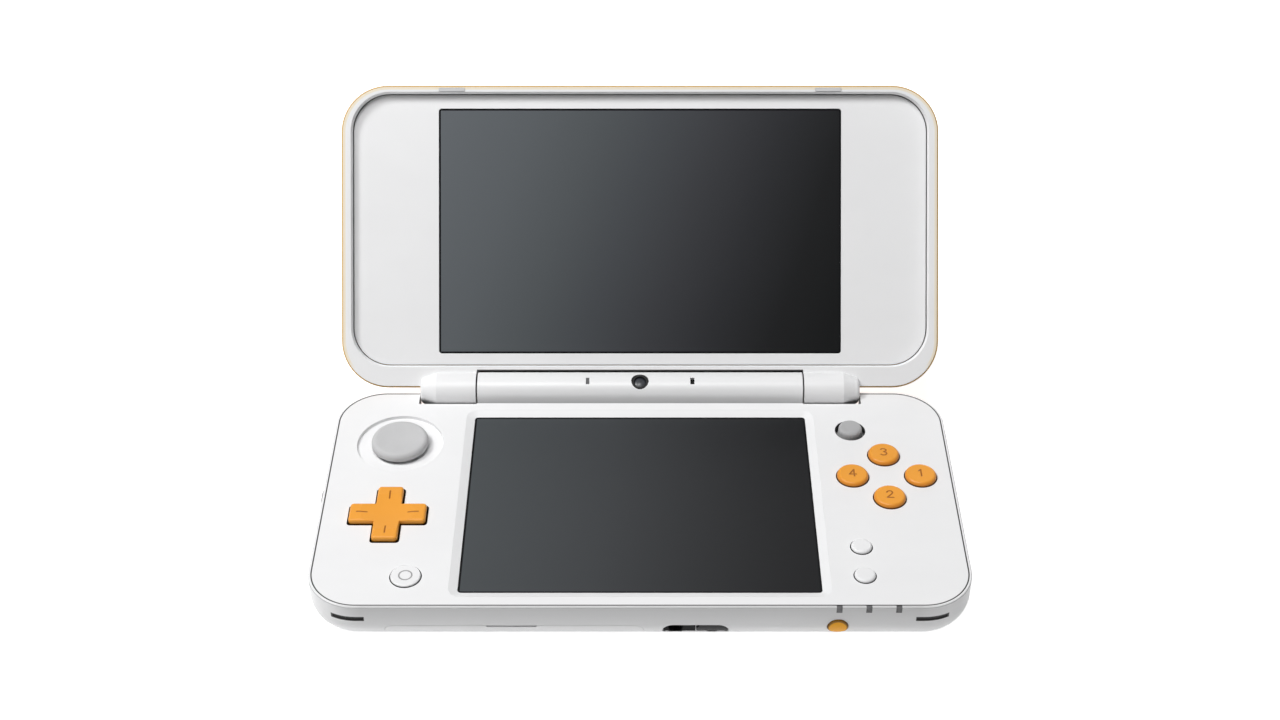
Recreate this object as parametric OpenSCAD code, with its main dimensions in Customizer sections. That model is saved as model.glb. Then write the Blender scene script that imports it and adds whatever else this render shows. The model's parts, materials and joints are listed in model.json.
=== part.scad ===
// Clamshell handheld game console, drawn open as it stands on a table.
// Millimetres. X is the width, Y runs from the player to the hinge, Z is up.
// The origin is the middle of the underside of the base.

/* [Shells] */
// Width of the closed console
shell_w = 159.4; // [152:0.2:200]
// Depth of the closed console without the hinge barrel
shell_d = 81; // [80:0.2:100]
// Height of the base
base_h = 12.4; // [12.4:0.1:16]
// Thickness of the lid
lid_h = 8.1; // [8.1:0.1:11]
// Radius of the four corners seen from above
corner_r = 12.5; // [11:0.5:14]
// Radius of the long curve under the edge of the base
edge_r = 7.4; // [6.6:0.1:7.4]
// Radius round the outer edge of the lid
lid_edge_r = 3.2; // [1.6:0.1:4]
// Wall thickness of the base
wall = 1.4; // [1.2:0.1:1.7]
// Thickness of the floor of the base
floor_t = 1.2; // [0.9:0.1:1.4]
// Thickness of the control panel
panel_t = 1.5; // [1.2:0.1:1.8]

/* [Hinge] */
// How far the lid stands open at rest, from closed
open_angle = 127; // [60:1:155]
// Radius of the hinge barrel
barrel_r = 4.8; // [4.2:0.1:5]
// Length of the middle barrel, which belongs to the base
barrel_len = 86.6; // [70:0.2:96]
// Length of each lid knuckle with its pointed end
knuckle_len = 14.9; // [10:0.1:16]
// Radius of the hinge shaft
hinge_shaft_r = 1.6; // [1.2:0.1:1.9]

/* [Screens] */
// Width of the upper screen window
upper_w = 107.6; // [90:0.2:118]
// Depth of both screen windows
screen_d = 65.4; // [56:0.2:67]
// Width of the lower touch screen
lower_w = 86.7; // [70:0.1:88]
// Width of the sloped border round the lower screen
bevel_w = 2.2; // [0.8:0.1:2.8]
// Depth of the recess in the lid
recess_h = 2.2; // [1.8:0.1:2.4]

/* [Controls] */
// Diameter of the thumb pad cap
pad_d = 14.7; // [12:0.1:15]
// Travel of the thumb pad each way along each slide
pad_travel = 2.5; // [1.5:0.1:2.6]
// Span of the direction pad
cross_w = 19; // [15:0.2:19.6]
// Width of one arm of the direction pad
cross_arm = 6.4; // [5:0.1:7.4]
// Diameter of a face button
face_d = 8; // [6:0.1:8.4]
// Distance of each face button from the middle of the four, sideways
face_dx = 8.63; // [7.8:0.01:9]
// Distance of each face button from the middle of the four, front to back
face_dy = 8.15; // [7.8:0.01:9]
// Travel of a pressed button
press = 0.7; // [0.3:0.1:0.8]
// Diameter of the two small buttons
small_d = 5.1; // [4:0.1:6]
// Diameter of the home button
home_d = 7.3; // [6:0.1:8]
// Diameter of the pointing nub
nub_d = 6.04; // [5:0.02:6.4]

/* [Connections] */
// Bore of the headphone jack
jack_d = 3.6; // [3.5:0.05:3.8]
// Width of the game card slot
card_w = 33.6; // [33:0.1:34]
// Height of the game card slot
card_h = 4.3; // [4.1:0.1:4.3]
// Length of the stylus
stylus_len = 58; // [40:1:70]

/* [Hidden] */
$fn = 48;

white = [0.94, 0.94, 0.94];
orange = [0.95, 0.62, 0.24];
light_grey = [0.76, 0.76, 0.76];
mid_grey = [0.62, 0.62, 0.62];
dark_grey = [0.2, 0.2, 0.21];
screen_grey = [0.26, 0.28, 0.29];
board_green = [0.1, 0.35, 0.2];
metal = [0.72, 0.73, 0.75];
black = [0.08, 0.08, 0.08];

panel_seam = 0.18;   // gap that shows as a fine line round a panel
glass_gap = 0.1;     // gap round a screen window
fit = 0.06;          // radial clearance of a shaft in its bore
button_gap = 0.25;   // gap round a button that is pressed
lip_t = 0.7;         // wall of the base beside the control panel
lip_bevel = 0.25;
side_x = shell_w / 2;
rear_y = shell_d / 2;
front_y = -shell_d / 2;
edge_y = front_y + edge_r;       // centre of the long curve under the front edge
corner_x = side_x - corner_r;    // centre of the right corners
corner_y = rear_y - corner_r;

// levels, upward from the table
panel_z = base_h - panel_t;      // underside of the control panel
board_t = 1;
board_z = base_h - 4.8;          // top of the main board
under_z = board_z - board_t;     // underside of the main board
tray_t = 0.3;
lower_display_t = 2.4;
touch_top = base_h - 0.85;
display_z = board_z + tray_t;    // underside of the lower display
stem_z = panel_z - 1;            // underside of a button flange

// hinge and lid, drawn closed
hinge_y = rear_y + 0.1;
hinge_z = base_h + 0.6;
knuckle_x = barrel_len / 2 + 0.3;
barrel_gap = 0.45;               // gap between the middle barrel and the lid
knuckle_end = knuckle_x + knuckle_len;
knuckle_tip = 3.4;               // radius of a knuckle near its pointed end
notch_x = knuckle_end + 0.2;
rim_z = base_h + 0.3;            // face of the lid rim when the lid is shut
lid_rear = hinge_y - 0.7;
lid_front = front_y - 0.2;
lid_d = lid_rear - lid_front;
lid_y = (lid_rear + lid_front) / 2;
cover_t = 1.1;
cover_edge = 0.4;                // how far the white rim stands inside the cover
cover_low = 0.35;                // how far the cover's edge stays behind the rim
rim_side = 2.9;
rim_front = 2.1;
rim_rear = 5.9;
recess_w = shell_w - 2 * rim_side;
recess_d = lid_d - rim_front - rim_rear;
recess_y = lid_front + rim_front + recess_d / 2;
lid_panel_z = rim_z + recess_h;
lid_panel_t = 1.2;
upper_display_t = 3;
screen_y = -2;                   // middle of both screens
bumper_x = 50.2;
bumper_y = lid_front + 1.15;

// places of the controls, from the side and the rear of the base
left_x = -(side_x - 17.5);
pad_x = left_x + 0.1;
pad_y = rear_y - 21.2;
pad_hole_r = pad_d / 2 - 1.45;
housing_w = 25;                  // width of the housing under the thumb pad
dish_r = pad_d / 2 + pad_travel * sqrt(2) + 0.2;
cross_x = left_x - 0.3;
cross_top = base_h + 1.4;        // top of the direction pad
cross_y = rear_y - 48.9;
home_x = left_x + 6.1;
home_y = front_y + 10.4;
right_x = side_x - 17.1;         // middle of the four face buttons
face_y = rear_y - 34.3;
nub_x = right_x - 7.75;
nub_y = rear_y - 16.1;
start_x = right_x - 8.7;
start_y = front_y + 20.7;
select_y = front_y + 10.7;

// front edge
light_xs = [right_x - 15.6, right_x - 8.6, right_x - 1.55];
light_w = 1.4;
light_low = base_h - 1.8;
power_x = right_x - 15.7;
power_z = 5.9;
power_d = 4.8;
slit_z = base_h - 3.8;
slit_h = 1;
pocket_l = 5.3;
pocket_r = 21.1;
pocket_top = 6.5;
pocket_low = 1.6;
pocket_y = front_y + 2.2;        // back wall of the pocket
pocket_mid = 13.3;
jack_x = 8.45;
jack_z = 4.05;
jack_len = 14;
stylus_x = 17.2;
stylus_r = 1.9;
door_l = -60.7;
door_r = 0.8;
door_top = 6.3;
door_t = 1.2;
door_seam = 0.06;
door_corner = 2;
door_angle = 52;                 // how far round the long curve the door reaches
door_pin_r = 0.45;
door_axis = [edge_y - (edge_r - 0.9) * cos(door_angle), edge_r - (edge_r - 0.9) * sin(door_angle)];
card_x = -19.4;
card_len = 34;
card_y = front_y + 4.5;          // mouth of the card slots
memory_x = -50.6;

// rear edge
port_x = -30;
port_z = 4.7;
shoulder_low = 3;
shoulder_top = base_h - 2.4;
shoulder_x = notch_x + 1.2;      // inner end of a shoulder button
shoulder_t = 1.8;
shoulder_end = 18;               // how far round the corner a shoulder button reaches
pin_r = 0.75;
shoulder_pin = [corner_x + (corner_r - 3.2) * cos(50), corner_y + (corner_r - 3.2) * sin(50)];
trigger_low = 2.5;
trigger_top = base_h - 5.4;
trigger_w = 13.2;
trigger_x = notch_x - trigger_w - 3.1;   // inner end of a trigger button
trigger_pin = [trigger_x + trigger_w - 1.6, rear_y - 3.6];

// left side
volume_y = 2;
volume_z = board_z + 1.4;
volume_travel = 3;
volume_len = 4;

boss_r = 2.2;
screw_r = 0.75;
screw_places = [
  [side_x - 9.2, front_y + 14.5], [-(side_x - 9.2), front_y + 14.5],
  [49.2, rear_y - 7.1], [-49.2, rear_y - 7.1]];
eye_tilt = 20;                   // lean of the barrel camera from straight up
eye_x = 13.9;                    // sideways distance of the light and the microphone
outer_eye_x = 17.5;
outer_eye_y = rear_y - 12.5;

// ---- shared shapes ----

module rounded_outline(w, d, r) {
  square([w - 2 * r, d], center = true);
  square([w, d - 2 * r], center = true);
  for (sx = [-1, 1], sy = [-1, 1])
    translate([sx * (w / 2 - r), sy * (d / 2 - r)]) circle(r);
}

module plate(w, d, t, r) {
  linear_extrude(t) rounded_outline(w, d, r);
}

// Carries a section round a rounded rectangle. The section is drawn
// outward from the centre of a corner, with its height as y.
module swept_band(w, d, r) {
  for (a = [0, 90, 180, 270]) {
    across = a % 180 == 0 ? w : d;
    along = (a % 180 == 0 ? d : w) - 2 * r;
    rotate([0, 0, a]) translate([across / 2 - r, along / 2, 0]) {
      rotate([90, 0, 0]) linear_extrude(along) children();
      rotate_extrude(angle = 90) children();
    }
  }
}

module edge_section(r, h, e) {
  translate([0, e]) square([r, h - e]);
  square([r - e, h]);
  intersection() {
    translate([r - e, e]) circle(e);
    square([r, h]);
  }
}

// A rounded rectangular block whose lower edge is a quarter round.
module soft_block(w, d, h, r, e) {
  swept_band(w, d, r) edge_section(r, h, e);
  translate([-(w / 2 - r), -(d / 2 - r), 0]) cube([w - 2 * r, d - 2 * r, h]);
}

// The same block with the quarter round on its upper edge.
module soft_cap(w, d, h, r, e) {
  translate([0, 0, h]) mirror([0, 0, 1]) soft_block(w, d, h, r, e);
}

module base_block(inset) {
  translate([0, 0, inset])
    soft_block(shell_w - 2 * inset, shell_d - 2 * inset, base_h - inset, corner_r - inset, edge_r - inset);
}

module hinge_rod(r, x0, x1) {
  translate([x0, hinge_y, hinge_z]) rotate([0, 90, 0]) cylinder(r = r, h = x1 - x0);
}

// A box given by its low corner and its high corner.
module span(low, high) {
  translate(low) cube(high - low);
}

module along_y(x, y0, y1, z, r) {
  translate([x, y0, z]) rotate([-90, 0, 0]) cylinder(r = r, h = y1 - y0);
}

module both_sides() {
  children();
  mirror([1, 0, 0]) children();
}

module opened() {
  translate([0, hinge_y, hinge_z]) rotate([-open_angle, 0, 0])
    translate([0, -hinge_y, -hinge_z]) children();
}

// The barrel and the lid's knuckles cut their room out of what lies round them.
module hinge_room() {
  hinge_rod(barrel_r + 0.05, -barrel_len / 2 - 0.1, barrel_len / 2 + 0.1);
  both_sides() hinge_rod(barrel_r + 0.35, barrel_len / 2 + 0.1, notch_x);
}

// Half section of a turned crown with a rounded edge.
module rounded_top(r, top, round_r) {
  translate([0, top - round_r - 0.01]) square([r - round_r, round_r + 0.01]);
  intersection() {
    translate([r - round_r, top - round_r]) circle(round_r);
    translate([0, top - round_r - 0.01]) square([r, round_r + 0.01]);
  }
}

// Radius of the ball that leaves a hollow of a given rim radius and depth.
function hollow_radius(rim, depth) = (rim * rim + depth * depth) / (2 * depth);

// A turned button: flange, stem and crown.
module turned_button(d, flange, low, top, round_r) {
  rotate_extrude() {
    translate([0, low]) square([flange, panel_z - low]);
    translate([0, low]) square([d / 2, top - round_r - low]);
    rounded_top(d / 2, top, round_r);
  }
}

// ---- base, fixed pieces ----

module shoulder_plan(gap) {
  far = side_x + 3;
  intersection() {
    difference() {
      rounded_outline(shell_w + 2, shell_d + 2, corner_r + 1);
      rounded_outline(shell_w - 10, shell_d - 10, corner_r - 5);
    }
    polygon([
      [shoulder_x - gap, rear_y - 6], [shoulder_x - gap, rear_y + 3], [far, rear_y + 3],
      [far, corner_y + (far - corner_x) * tan(shoulder_end) - gap], [corner_x, corner_y - gap]]);
  }
}

module front_outline(l, r, low, top, round_r) {
  translate([l, low]) square([r - l, top - round_r - low]);
  translate([l + round_r, low]) square([r - l - 2 * round_r, top - low]);
  for (x = [l + round_r, r - round_r]) translate([x, top - round_r]) circle(round_r);
}

module through_front(y0, y1) {
  translate([0, y1, 0]) rotate([90, 0, 0]) linear_extrude(y1 - y0) children();
}

module stadium(l, r, low, top) {
  h = (top - low) / 2;
  translate([l + h, low]) square([r - l - 2 * h, top - low]);
  for (x = [l + h, r - h]) translate([x, low + h]) circle(h);
}

// The band of a speaker slit round the front corner, between two depths under the surface.
module speaker_slit(near, far) {
  reach = 27;
  low = slit_z - slit_h / 2;
  translate([corner_x - 1.8, front_y + near, low]) cube([1.8, far - near, slit_h]);
  translate([corner_x, -corner_y, low]) rotate([0, 0, -90]) rotate_extrude(angle = reach)
    translate([corner_r - far, 0]) square([far - near, slit_h]);
}

module case_inner_blocks() {
  // block behind the pocket for the jack and the stylus
  span([pocket_l - 1.2, front_y, 0], [pocket_r + 1.2, pocket_y + 1.6, under_z]);
  // guide of the power button
  along_y(power_x, front_y, front_y + 4.2, power_z, power_d / 2 + 1.3);
  // cheeks that hold the pins of the card door
  span([door_l - 2, front_y, 0], [door_l - 0.3, front_y + 5, 3.6]);
  span([door_r + 0.3, front_y, 0], [door_r + 2, front_y + 5, 3.6]);
  // frames of the charging port and the infrared window
  span([port_x - 6, rear_y - 4.6, 0], [port_x + 6, rear_y, under_z]);
  span([-6.4, rear_y - 3, 0], [6.4, rear_y, under_z]);
  // cradles of the speakers
  both_sides() span([corner_x - 6.2, front_y + 3.1, 0], [corner_x + 3.8, front_y + 7.4, 4.2]);
  // feet of the shoulder and trigger pins
  both_sides() {
    translate([shoulder_pin.x, shoulder_pin.y, 0]) cylinder(r = 2, h = shoulder_low);
    translate([trigger_pin.x, trigger_pin.y, 0]) cylinder(r = 1.6, h = trigger_low);
  }
  // pillars of the case screws and rings round the outer camera lenses
  for (p = screw_places) translate([p.x, p.y, 0]) cylinder(r = boss_r, h = under_z);
}

module bottom_case() {
  color(white) difference() {
    union() {
      difference() {
        base_block(0);
        translate([0, 0, floor_t]) soft_block(
          shell_w - 2 * wall, shell_d - 2 * wall, base_h, corner_r - wall, edge_r - wall);
      }
      intersection() {
        base_block(0);
        case_inner_blocks();
      }
    }
    // pocket for the control panel, and a fine bevel along the upper edge
    translate([0, 0, panel_z])
      plate(shell_w - 2 * lip_t, shell_d - 2 * lip_t, panel_t + 1, corner_r - lip_t);
    swept_band(shell_w, shell_d, corner_r) polygon([
      [corner_r - lip_bevel, base_h], [corner_r, base_h - lip_bevel], [corner_r + 1, base_h - lip_bevel],
      [corner_r + 1, base_h + 1], [corner_r - lip_bevel, base_h + 1]]);
    hinge_room();
    // screws
    for (p = screw_places) translate([p.x, p.y, 0]) {
      translate([0, 0, -1]) cylinder(r = 1.7, h = 2.2);
      cylinder(r = screw_r + 0.05, h = under_z + 1);
    }
    // outer camera lenses
    both_sides() translate([outer_eye_x, outer_eye_y, -1]) cylinder(r = 2.75, h = floor_t + 2);
    // indicator lights over the front edge
    for (x = light_xs)
      span([x - light_w / 2, front_y - 1, light_low], [x + light_w / 2, front_y + 1.2, base_h + 1]);
    both_sides() speaker_slit(-1, wall + 0.6);
    // power button
    along_y(power_x, front_y - 1, front_y + 5, power_z, power_d / 2 + 0.15);
    // pocket, jack and stylus
    through_front(front_y - 1, pocket_y) stadium(pocket_l, pocket_r, pocket_low, pocket_top);
    along_y(jack_x, pocket_y - 1, pocket_y + 4.4, jack_z, jack_d / 2 + 0.55);
    along_y(stylus_x, pocket_y - 1, pocket_y + 4.4, jack_z, stylus_r + 0.15);
    // opening under the card door, and the bay behind it
    through_front(front_y - 1, edge_y - 3)
      front_outline(door_l - door_seam, door_r + door_seam, floor_t, door_top + door_seam, door_corner);
    span([memory_x - 7, front_y, floor_t], [card_x + card_w / 2 + 1.2, edge_y + 1, door_top + door_seam]);
    for (x = [door_l - 1.4, door_r - 1.6])
      translate([x, door_axis[0], door_axis[1]]) rotate([0, 90, 0]) cylinder(r = door_pin_r + 0.03, h = 3);
    // charging port and infrared window
    translate([port_x, rear_y - 5, port_z]) rotate([-90, 0, 0]) plate(8.8, 3.4, 6, 1.2);
    translate([0, rear_y - 3.5, port_z]) rotate([-90, 0, 0]) plate(10.2, 3.4, 5, 0.8);
    // shoulder and trigger buttons
    both_sides() {
      translate([0, 0, shoulder_low]) linear_extrude(shoulder_top - shoulder_low) shoulder_plan(0.9);
      span([trigger_x - 0.4, rear_y - 5.6, trigger_low],
        [trigger_x + trigger_w + 0.3, rear_y + 1, trigger_top + 0.3]);
      translate([shoulder_pin.x, shoulder_pin.y, shoulder_low - 1]) cylinder(r = pin_r + 0.03, h = 2);
      translate([trigger_pin.x, trigger_pin.y, trigger_low - 0.8]) cylinder(r = pin_r + 0.03, h = 2);
    }
    // volume slider
    span([-side_x - 1, volume_y - volume_travel - volume_len / 2 - 0.3, volume_z - 0.95],
      [-side_x + wall + 1, volume_y + volume_travel + volume_len / 2 + 0.3, volume_z + 0.95]);
  }
}

module face_places() {
  translate([right_x + face_dx, face_y, 0]) children();
  translate([right_x - face_dx, face_y, 0]) children();
  translate([right_x, face_y + face_dy, 0]) children();
  translate([right_x, face_y - face_dy, 0]) children();
}

module cross_outline(w, arm, r) {
  rounded_outline(w, arm, r);
  rounded_outline(arm, w, r);
}

module control_panel() {
  w = shell_w - 2 * (lip_t + panel_seam);
  d = shell_d - 2 * (lip_t + panel_seam);
  window_w = lower_w + 2 * glass_gap;
  window_d = screen_d + 2 * glass_gap;
  window_z = base_h - 0.8;
  color(white) difference() {
    union() {
      translate([0, 0, panel_z]) plate(w, d, panel_t, corner_r - lip_t - panel_seam);
      // thickened floor under the thumb pad dish
      translate([pad_x, pad_y, panel_z - 0.6]) cylinder(r = dish_r + 0.9, h = 1);
      // pillars that take the case screws
      for (p = screw_places)
        translate([p.x, p.y, board_z]) cylinder(r = boss_r, h = panel_z + 0.5 - board_z);
    }
    for (p = screw_places) translate([p.x, p.y, board_z - 1]) cylinder(r = screw_r + 0.03, h = 4.2);
    hinge_room();
    // lower screen window and its sloped border
    translate([0, screen_y, 0]) {
      translate([0, 0, panel_z - 1]) plate(window_w, window_d, panel_t + 2, 0.9);
      swept_band(window_w, window_d, 0.9) polygon([
        [0.8, window_z], [0.9, window_z], [0.9 + bevel_w, base_h], [0.9 + bevel_w, base_h + 1],
        [0.8, base_h + 1]]);
    }
    // dish of the thumb pad
    translate([pad_x, pad_y, 0]) rotate_extrude() polygon([
      [0, panel_z - 1], [pad_hole_r, panel_z - 1], [pad_hole_r, base_h - 1.25],
      [dish_r - 0.05, base_h - 0.85], [dish_r + 0.05, base_h], [dish_r + 0.05, base_h + 1],
      [0, base_h + 1]]);
    translate([cross_x, cross_y, panel_z - 1]) linear_extrude(4)
      cross_outline(cross_w + 0.9, cross_arm + 0.9, 0.9);
    translate([home_x, home_y, panel_z - 1]) cylinder(r = home_d / 2 + button_gap, h = 4);
    for (y = [start_y, select_y])
      translate([start_x, y, panel_z - 1]) cylinder(r = small_d / 2 + button_gap, h = 4);
    translate([0, 0, panel_z - 1]) face_places() cylinder(r = face_d / 2 + button_gap, h = 4);
    translate([nub_x, nub_y, panel_z - 1]) cylinder(r = nub_d / 2 + 0.95, h = 4);
  }
}

module touch_panel() {
  color(screen_grey) translate([0, screen_y, display_z + lower_display_t])
    plate(lower_w, screen_d, touch_top - display_z - lower_display_t, 0.8);
}

module lower_display() {
  color(dark_grey) translate([0, screen_y, display_z])
    plate(lower_w + 1.6, screen_d + 1, lower_display_t, 0.8);
}

module display_tray() {
  w = lower_w + 2;
  d = screen_d + 1.4;
  color(metal) translate([0, screen_y, board_z]) {
    plate(w, d, tray_t, 1.2);
    for (s = [-1, 1]) translate([s * (w / 2 - 0.1) - 0.1, -d / 2 + 4, 0]) cube([0.2, d - 8, 2.4]);
  }
}

module main_board() {
  bay = housing_w + 0.4;
  color(board_green) difference() {
    translate([0, 0, under_z]) linear_extrude(board_t) union() {
      translate([0, -4.4]) rounded_outline(shell_w - 12.4, shell_d - 23.8, 5);
      translate([0, 2.4]) rounded_outline(2 * corner_x - 1, shell_d - 16.8, 5);
      translate([-side_x + wall + 6.2, volume_y]) square([12, 14], center = true);
    }
    translate([pad_x - bay / 2, pad_y - bay / 2, under_z - 1]) cube([bay, bay, 4]);
    for (p = screw_places) translate([p.x, p.y, 0]) cylinder(r = screw_r + 0.1, h = base_h);
  }
}

module processor_shield() {
  color(metal) difference() {
    translate([-12, rear_y - 28, under_z - 2.2]) plate(40, 22, 2.2, 1);
    translate([-12, rear_y - 28, under_z - 2]) plate(39.4, 21.4, 3, 0.7);
  }
}

module battery() {
  h = 5;
  color(dark_grey) translate([41.8, rear_y - 36.5, floor_t]) difference() {
    plate(38, 48, h, 1.5);
    // contact slots at the front
    for (x = [-6, -2, 2, 6]) span([x - 1, -25, 1.4], [x + 1, -23, 3.6]);
  }
}

module eye_direction(x) {
  translate([x, hinge_y, hinge_z]) rotate([eye_tilt, 0, 0]) children();
}

module hinge_barrel() {
  inner = barrel_r - 1.1;
  color(white) difference() {
    hinge_rod(barrel_r, -barrel_len / 2, barrel_len / 2);
    hinge_rod(inner, -barrel_len / 2 + 2, barrel_len / 2 - 2);
    hinge_rod(2.45, -barrel_len / 2 - 1, barrel_len / 2 + 1);
    eye_direction(0) cylinder(r = 2.3, h = 10);
    eye_direction(-eye_x) translate([-0.45, -1, 0]) cube([0.9, 2, 10]);
    eye_direction(eye_x) translate([-0.55, -1, 0]) cube([1.1, 2, 10]);
  }
}

module camera_modules() {
  color(black) {
    eye_direction(0) difference() {
      union() {
        translate([-2.4, -2.1, -2.4]) cube([4.8, 4.2, 4.6]);
        cylinder(r = 2.25, h = 4.3);
      }
      translate([0, 0, 3.4]) cylinder(r = 1.6, h = 4);
    }
    both_sides() translate([outer_eye_x - 4, outer_eye_y - 4, floor_t]) cube([8, 8, under_z - floor_t]);
  }
}

module camera_lenses() {
  color(dark_grey) {
    eye_direction(0) translate([0, 0, 3.4]) intersection() {
      cylinder(r = 1.57, h = 1);
      translate([0, 0, -3]) sphere(3.75);
    }
    both_sides() translate([outer_eye_x, outer_eye_y, 0.3]) cylinder(r = 2.7, h = floor_t - 0.3);
  }
}

module microphone() {
  color(metal) eye_direction(eye_x) difference() {
    translate([-1.6, -1.6, 1.4]) cube([3.2, 3.2, 1.8]);
    translate([0, 0, 2.4]) cylinder(r = 0.4, h = 2);
  }
}

module hinge_units() {
  body_r = 2.4;
  color(metal) both_sides() {
    hinge_rod(body_r, barrel_len / 2 - 13, barrel_len / 2);
    hinge_rod(hinge_shaft_r, barrel_len / 2 - 1, knuckle_x + 9.4);
  }
}

module circle_pad_housing() {
  w = housing_w;
  rim = panel_z - 1.4;
  color(black) translate([pad_x, pad_y, 0]) difference() {
    union() {
      translate([-w / 2, -w / 2, under_z - 1.6]) cube([w, w, rim - under_z + 1.6]);
      // ears that rest on the main board
      translate([-4, -w / 2 - 1.6, board_z]) cube([8, w + 3.2, 0.7]);
    }
    // hollow for the guide block
    translate([-8, -8, under_z - 0.6]) cube([16, 16, 10]);
    // hollow for the carriage, which runs sideways on two ledges
    translate([-w / 2 + 1, -w / 2 + 1, panel_z - 2.7]) cube([w - 2, w - 2, 10]);
    // notch beside the screw pillar
    translate([screw_places[3].x - pad_x, screw_places[3].y - pad_y, 0])
      cylinder(r = boss_r + 0.3, h = base_h);
  }
}

module circle_pad_carriage() {
  across = 18;
  color(mid_grey) translate([pad_x, pad_y, panel_z - 2.7]) difference() {
    translate([-across / 2, -11.3, 0]) cube([across, 22.6, 0.9]);
    translate([-3.1, -3 - pad_travel - 0.2, -1]) cube([6.2, 6 + 2 * pad_travel + 0.4, 4]);
  }
}

module circle_pad_skirt() {
  top = panel_z - 0.75;
  color(light_grey) translate([pad_x, pad_y, 0]) {
    translate([0, 0, top - 0.4]) cylinder(r = pad_hole_r + pad_travel * sqrt(2) + 0.3, h = 0.4);
    translate([-3, -3, top - 3]) cube([6, 6, 2.8]);
  }
}

module circle_pad_cap() {
  low = base_h - 0.5;
  top = base_h + 1.9;
  r = pad_d / 2;
  round_r = 1.2;
  hollow = 0.35;
  hollow_r = hollow_radius(r - round_r - 0.3, hollow);
  color(light_grey) translate([pad_x, pad_y, 0]) {
    translate([0, 0, panel_z - 0.75]) cylinder(r = 2, h = 2);
    difference() {
      rotate_extrude() {
        polygon([[0, low], [r - 0.5, low], [r, low + 0.5], [r, top - round_r], [0, top - round_r]]);
        rounded_top(r, top, round_r);
      }
      // hollow of the thumb rest
      translate([0, 0, top + hollow_r - hollow]) sphere(hollow_r);
    }
  }
}

// A bar of the direction pad with rounded top edges.
module cross_bar(w, d) {
  soft_cap(w, d, cross_top - stem_z - 0.3, 0.9, 0.6);
}

module d_pad() {
  low = stem_z - 0.7;
  hollow = 0.5;
  hollow_r = hollow_radius(cross_w / 2 - 2.8, hollow);
  color(orange) translate([cross_x, cross_y, 0]) difference() {
    union() {
      translate([0, 0, low]) linear_extrude(0.5) cross_outline(cross_w + 2.2, cross_arm + 1.8, 1);
      translate([0, 0, low]) linear_extrude(1.2) cross_outline(cross_w, cross_arm, 0.9);
      translate([0, 0, stem_z + 0.3]) {
        cross_bar(cross_w, cross_arm);
        cross_bar(cross_arm, cross_w);
      }
    }
    // thumb hollow in the middle, and the socket of the pivot ball
    translate([0, 0, cross_top + hollow_r - hollow]) sphere(hollow_r);
    translate([0, 0, low + 0.1]) sphere(1.38);
  }
}

module d_pad_pivot() {
  color(metal) translate([cross_x, cross_y, stem_z - 0.6]) sphere(1.3);
}

module d_pad_seat() {
  color(black) difference() {
    translate([cross_x, cross_y, board_z]) cylinder(r = 2, h = stem_z - 1.05 - board_z);
    translate([cross_x, cross_y, stem_z - 0.6]) sphere(1.38);
  }
}

module dome(x, y, r, base_z, top) {
  translate([x, y, board_z]) cylinder(r = r + 0.8, h = base_z);
  translate([x, y, board_z]) cylinder(r = r, h = top - board_z);
}

module left_membrane() {
  sheet = 0.45;
  color(light_grey) difference() {
    union() {
      translate([cross_x, cross_y, board_z]) cylinder(r = cross_w / 2 + 0.6, h = sheet);
      for (a = [0, 90, 180, 270])
        translate([cross_x + 7 * cos(a), cross_y + 7 * sin(a), board_z]) cylinder(r = 1.6, h = 0.75);
      span([home_x - 3, home_y, board_z], [home_x + 1, cross_y, board_z + sheet]);
      dome(home_x, home_y, 2.2, 0.7, stem_z - press - 0.05);
    }
    translate([cross_x, cross_y, board_z - 1]) cylinder(r = 2.2, h = 4);
  }
}

module right_membrane() {
  sheet = 0.45;
  top = stem_z - press - 0.05;
  color(light_grey) difference() {
    union() {
      translate([right_x, face_y, board_z]) plate(2 * face_dx + 5.4, 2 * face_dy + 5.4, sheet, 5);
      face_places() dome(0, 0, 2.3, 0.8, top);
      span([start_x - 1.5, select_y, board_z], [start_x + 1.5, face_y, board_z + sheet]);
      for (y = [start_y, select_y]) dome(start_x, y, 1.5, 0.7, top);
    }
    for (p = screw_places) translate([p.x, p.y, board_z - 1]) cylinder(r = boss_r + 0.1, h = 5);
  }
}

module face_button(x, y) {
  color(orange) translate([x, y, 0])
    turned_button(face_d, face_d / 2 + 0.95, stem_z, base_h + 1.15, 0.85);
}

module face_button_right() {
  face_button(right_x + face_dx, face_y);
}

module face_button_left() {
  face_button(right_x - face_dx, face_y);
}

module face_button_back() {
  face_button(right_x, face_y + face_dy);
}

module face_button_front() {
  face_button(right_x, face_y - face_dy);
}

module start_button() {
  color(white) translate([start_x, start_y, 0])
    turned_button(small_d, small_d / 2 + 0.8, stem_z, base_h + 0.75, 0.6);
}

module select_button() {
  color(white) translate([start_x, select_y, 0])
    turned_button(small_d, small_d / 2 + 0.8, stem_z, base_h + 0.75, 0.6);
}

module home_button() {
  color(white) translate([home_x, home_y, 0])
    turned_button(home_d, home_d / 2 + 0.8, stem_z, base_h + 0.5, 0.35);
}

nub_ball_z = board_z + 1.5;

module nub_sensor() {
  color(black) difference() {
    union() {
      translate([nub_x - 4.5, nub_y - 4.5, board_z]) cube([9, 9, 0.6]);
      translate([nub_x, nub_y, board_z]) cylinder(r = 2.2, h = 1.2);
    }
    translate([nub_x, nub_y, nub_ball_z]) sphere(1.28);
  }
}

module nub_pivot() {
  color(metal) translate([nub_x, nub_y, nub_ball_z]) sphere(1.2);
}

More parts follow.
